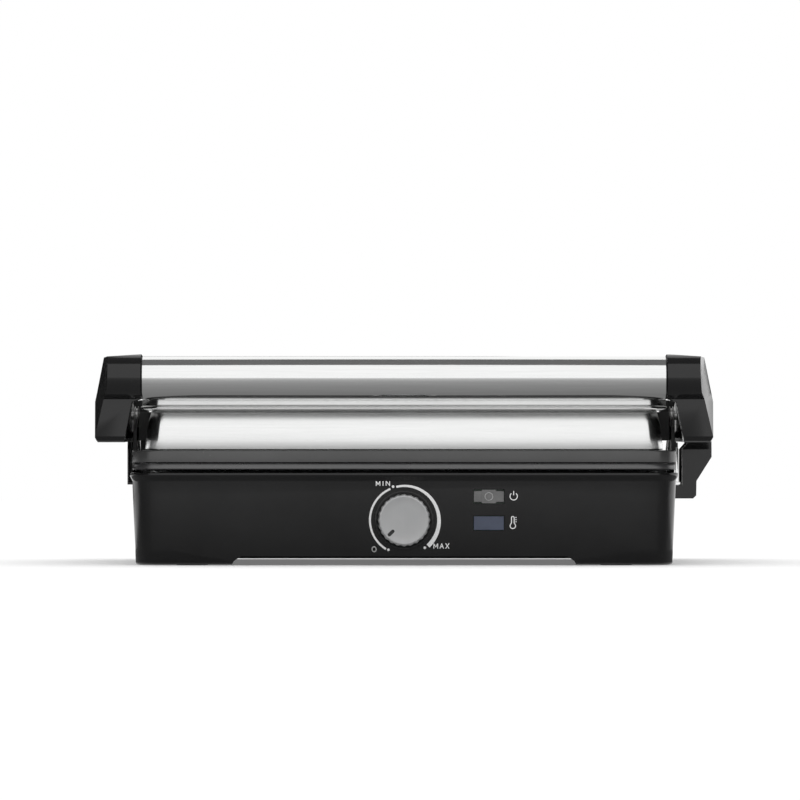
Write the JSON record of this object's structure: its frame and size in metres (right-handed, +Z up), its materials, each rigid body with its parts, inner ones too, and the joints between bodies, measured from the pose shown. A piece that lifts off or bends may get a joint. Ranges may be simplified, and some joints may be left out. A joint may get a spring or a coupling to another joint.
{
  "type": "panini press",
  "caption": "Contact grill with a steel bar handle on two side arms, a floating hinge that opens flat, ribbed plates, a side drip tray and a front thermostat knob.",
  "frame": {"origin": "bottom centre of the closed press, on the worktop", "axes": "+X to the right seen from the front, +Y from front to back, +Z up"},
  "size_m": [0.3952, 0.2819, 0.1265],
  "materials": {
    "gloss_black": "glossy injection moulded black",
    "matte_black": "fine textured black",
    "frame_grey": "satin dark grey",
    "foot_rubber": "matt rubber",
    "brushed_steel": "brushed from side to side",
    "polished_steel": "polished tube",
    "plated_steel": "zinc plated",
    "cast_plate": "dark non-stick coating on a die-cast plate",
    "satin_silver": "satin silver",
    "smoked_lens": "smoked clear plastic",
    "blue_lens": "tinted blue plastic",
    "white_plastic": "natural white engineering plastic",
    "board_green": "coated circuit board"
  },
  "bodies": {
    "base": {"base_housing": "gloss_black", "bottom_plate": "matte_black", "front_left_foot": "foot_rubber", "front_right_foot": "foot_rubber", "back_left_foot": "foot_rubber", "back_right_foot": "foot_rubber", "front_left_base_screw": "plated_steel", "front_right_base_screw": "plated_steel", "back_left_base_screw": "plated_steel", "back_right_base_screw": "plated_steel", "lower_plate": "cast_plate", "lower_heating_element": "plated_steel", "lower_heat_reflector": "plated_steel", "thermostat_body": "white_plastic", "power_light_lens": "smoked_lens", "ready_light_lens": "blue_lens", "power_lamp": "white_plastic", "ready_lamp": "white_plastic", "lamp_board": "board_green", "terminal_block": "white_plastic", "cord_grommet": "foot_rubber", "drip_tray_guide": "matte_black", "right_hinge_plate": "plated_steel", "left_hinge_plate": "plated_steel", "right_hinge_screw_front": "plated_steel", "left_hinge_screw_front": "plated_steel", "right_hinge_screw_back": "plated_steel", "left_hinge_screw_back": "plated_steel", "wiring_cover": "gloss_black", "left_hinge_cover": "gloss_black"},
    "knob": {"temperature_knob": "satin_silver", "knob_skirt": "gloss_black", "thermostat_spindle": "plated_steel"},
    "drip_tray": {"drip_tray": "gloss_black"},
    "hinge_carrier": {"hinge_shaft": "plated_steel", "right_hinge_slider": "white_plastic", "left_hinge_slider": "white_plastic", "right_shaft_clip": "plated_steel", "left_shaft_clip": "plated_steel"},
    "arm_frame": {"right_arm_shell": "gloss_black", "left_arm_shell": "gloss_black", "right_arm_strap": "plated_steel", "left_arm_strap": "plated_steel", "right_pivot_pin": "plated_steel", "left_pivot_pin": "plated_steel", "right_handle_screw": "plated_steel", "left_handle_screw": "plated_steel", "handle_sleeve": "polished_steel", "handle_core": "matte_black"},
    "upper_unit": {"upper_plate": "cast_plate", "upper_heating_element": "plated_steel", "upper_heat_reflector": "plated_steel", "upper_frame": "frame_grey", "lid_fascia": "brushed_steel", "lid_top_panel": "brushed_steel", "right_pivot_lug": "matte_black", "left_pivot_lug": "matte_black", "right_lug_screw": "plated_steel", "left_lug_screw": "plated_steel"}
  },
  "joints": [
    {"name": "knob_turn", "type": "hinge", "parent": "base", "child": "knob", "pos_m": [0, -0.118, 0.0272], "axis": [0, 1, 0], "range_deg": [-17.7, 276.9]},
    {"name": "drip_tray_slide", "type": "slide", "parent": "base", "child": "drip_tray", "axis": [-1, 0, 0], "range_m": [0, 0.12]},
    {"name": "hinge_float", "type": "slide", "parent": "base", "child": "hinge_carrier", "axis": [0, 0, 1], "range_m": [0, 0.012]},
    {"name": "lid_hinge", "type": "hinge", "parent": "hinge_carrier", "child": "arm_frame", "pos_m": [0, 0.124, 0.0632], "axis": [-1, 0, 0], "range_deg": [0, 180]},
    {"name": "unit_tilt", "type": "hinge", "parent": "arm_frame", "child": "upper_unit", "pos_m": [0, 0.004, 0.0912], "axis": [1, 0, 0], "range_deg": [0, 5]}
  ],
  "couplings": [
    {"joint": "unit_tilt", "follows": "hinge_float", "rad_per_m": 7.27}
  ]
}
